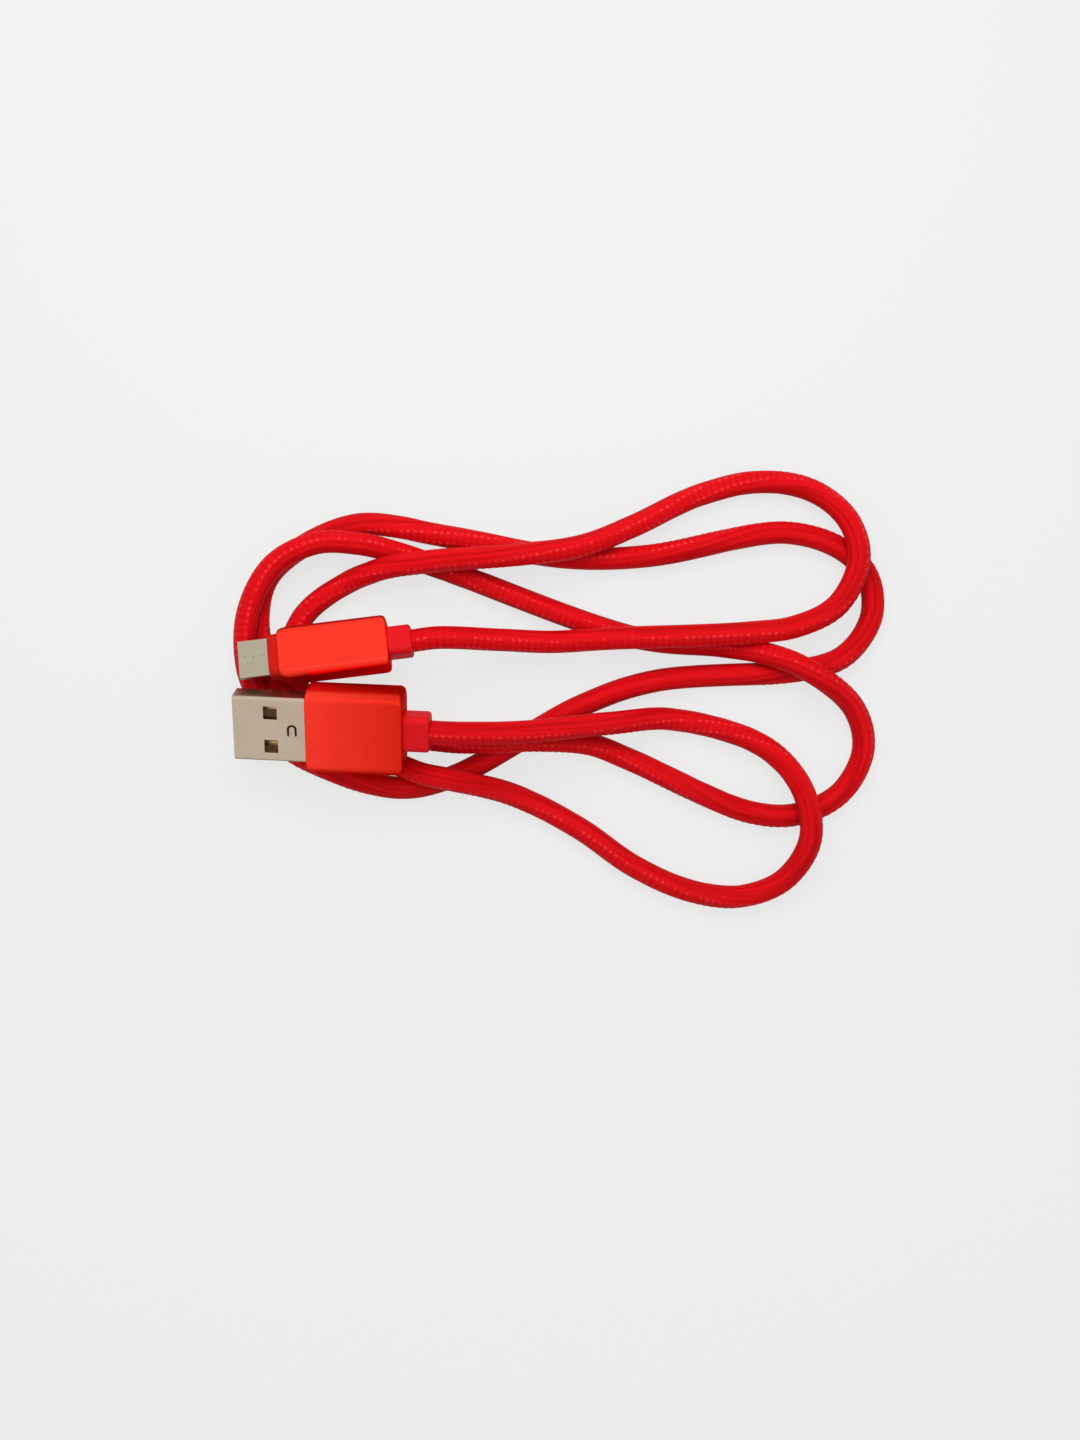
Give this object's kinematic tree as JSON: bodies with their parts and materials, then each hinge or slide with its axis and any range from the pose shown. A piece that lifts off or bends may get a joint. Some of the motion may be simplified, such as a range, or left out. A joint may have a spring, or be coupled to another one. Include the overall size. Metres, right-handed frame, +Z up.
{
  "type": "charging cable",
  "caption": "Red braided charging cable with a USB-A plug and a micro-USB plug in satin aluminium housings, lying in a loose bundle.",
  "frame": {"origin": "on the table, under the middle of the bundle that the cord lies in", "axes": "+X from the plugs towards the far loops, along the plugs; +Z up from the table; +Y across the plugs, from the USB-A plug to the micro-USB plug"},
  "size_m": [0.1161, 0.0788, 0.0172],
  "materials": {
    "red_aluminium": "satin, blasted and anodised orange red",
    "collar_plastic": "fine matt, crimson",
    "nose_plastic": "fine matt, dark red",
    "inner_plastic": "moulded, dark red",
    "braid": "woven polyester braid, satin",
    "nickel_shell": "nickel plated, soft shine",
    "spring_steel": "plated spring steel",
    "gilt_contact": "gold flash",
    "ferrule_brass": "plain brass",
    "solder": "bright solder",
    "tongue_plastic": "glass filled, black",
    "wire_red": "insulation, red",
    "wire_white": "insulation, white",
    "wire_green": "insulation, green",
    "wire_black": "insulation, black"
  },
  "bodies": {
    "cable": {"usb_a_shell": "nickel_shell", "usb_a_tongue": "tongue_plastic", "usb_a_contact_vbus": "gilt_contact", "usb_a_contact_minus": "gilt_contact", "usb_a_contact_plus": "gilt_contact", "usb_a_contact_ground": "gilt_contact", "usb_a_solder": "solder", "usb_a_wire_red": "wire_red", "usb_a_wire_white": "wire_white", "usb_a_wire_green": "wire_green", "usb_a_wire_black": "wire_black", "usb_a_ferrule": "ferrule_brass", "usb_a_inner_mould": "inner_plastic", "usb_a_housing": "red_aluminium", "usb_a_collar": "collar_plastic", "usb_a_cord_end": "braid", "cord": "braid", "micro_cord_end": "braid", "micro_collar": "collar_plastic", "micro_housing": "red_aluminium", "micro_nose": "nose_plastic", "micro_inner_mould": "inner_plastic", "micro_ferrule": "ferrule_brass", "micro_wire_red": "wire_red", "micro_wire_white": "wire_white", "micro_wire_green": "wire_green", "micro_wire_black": "wire_black", "micro_solder": "solder", "micro_contact_tails": "gilt_contact", "micro_tongue": "tongue_plastic", "micro_shell": "nickel_shell"},
    "latch_left": {"micro_latch_left": "spring_steel"},
    "latch_right": {"micro_latch_right": "spring_steel"},
    "contact_vbus": {"micro_contact_vbus": "gilt_contact"},
    "contact_minus": {"micro_contact_minus": "gilt_contact"},
    "contact_plus": {"micro_contact_plus": "gilt_contact"},
    "contact_id": {"micro_contact_id": "gilt_contact"},
    "contact_ground": {"micro_contact_ground": "gilt_contact"}
  },
  "joints": [
    {"name": "latch_left_press", "type": "hinge", "parent": "cable", "child": "latch_left", "pos_m": [-0.04816, 0.00763, 0.00817], "axis": [-0.1191, 0.9489, -0.2924], "range_deg": [0, 3], "stiffness_Nm_per_rad": 0.2},
    {"name": "latch_right_press", "type": "hinge", "parent": "cable", "child": "latch_right", "pos_m": [-0.04769, 0.00384, 0.00934], "axis": [-0.1191, 0.9489, -0.2924], "range_deg": [0, 3], "stiffness_Nm_per_rad": 0.2},
    {"name": "contact_vbus_press", "type": "hinge", "parent": "cable", "child": "contact_vbus", "pos_m": [-0.05186, 0.00655, 0.00856], "axis": [0.1191, -0.9489, 0.2924], "range_deg": [0, 2], "stiffness_Nm_per_rad": 0.08},
    {"name": "contact_minus_press", "type": "hinge", "parent": "cable", "child": "contact_minus", "pos_m": [-0.05178, 0.00594, 0.00875], "axis": [0.1191, -0.9489, 0.2924], "range_deg": [0, 2], "stiffness_Nm_per_rad": 0.08},
    {"name": "contact_plus_press", "type": "hinge", "parent": "cable", "child": "contact_plus", "pos_m": [-0.0517, 0.00532, 0.00894], "axis": [0.1191, -0.9489, 0.2924], "range_deg": [0, 2], "stiffness_Nm_per_rad": 0.08},
    {"name": "contact_id_press", "type": "hinge", "parent": "cable", "child": "contact_id", "pos_m": [-0.05162, 0.0047, 0.00913], "axis": [0.1191, -0.9489, 0.2924], "range_deg": [0, 2], "stiffness_Nm_per_rad": 0.08},
    {"name": "contact_ground_press", "type": "hinge", "parent": "cable", "child": "contact_ground", "pos_m": [-0.05155, 0.00409, 0.00932], "axis": [0.1191, -0.9489, 0.2924], "range_deg": [0, 2], "stiffness_Nm_per_rad": 0.08}
  ]
}
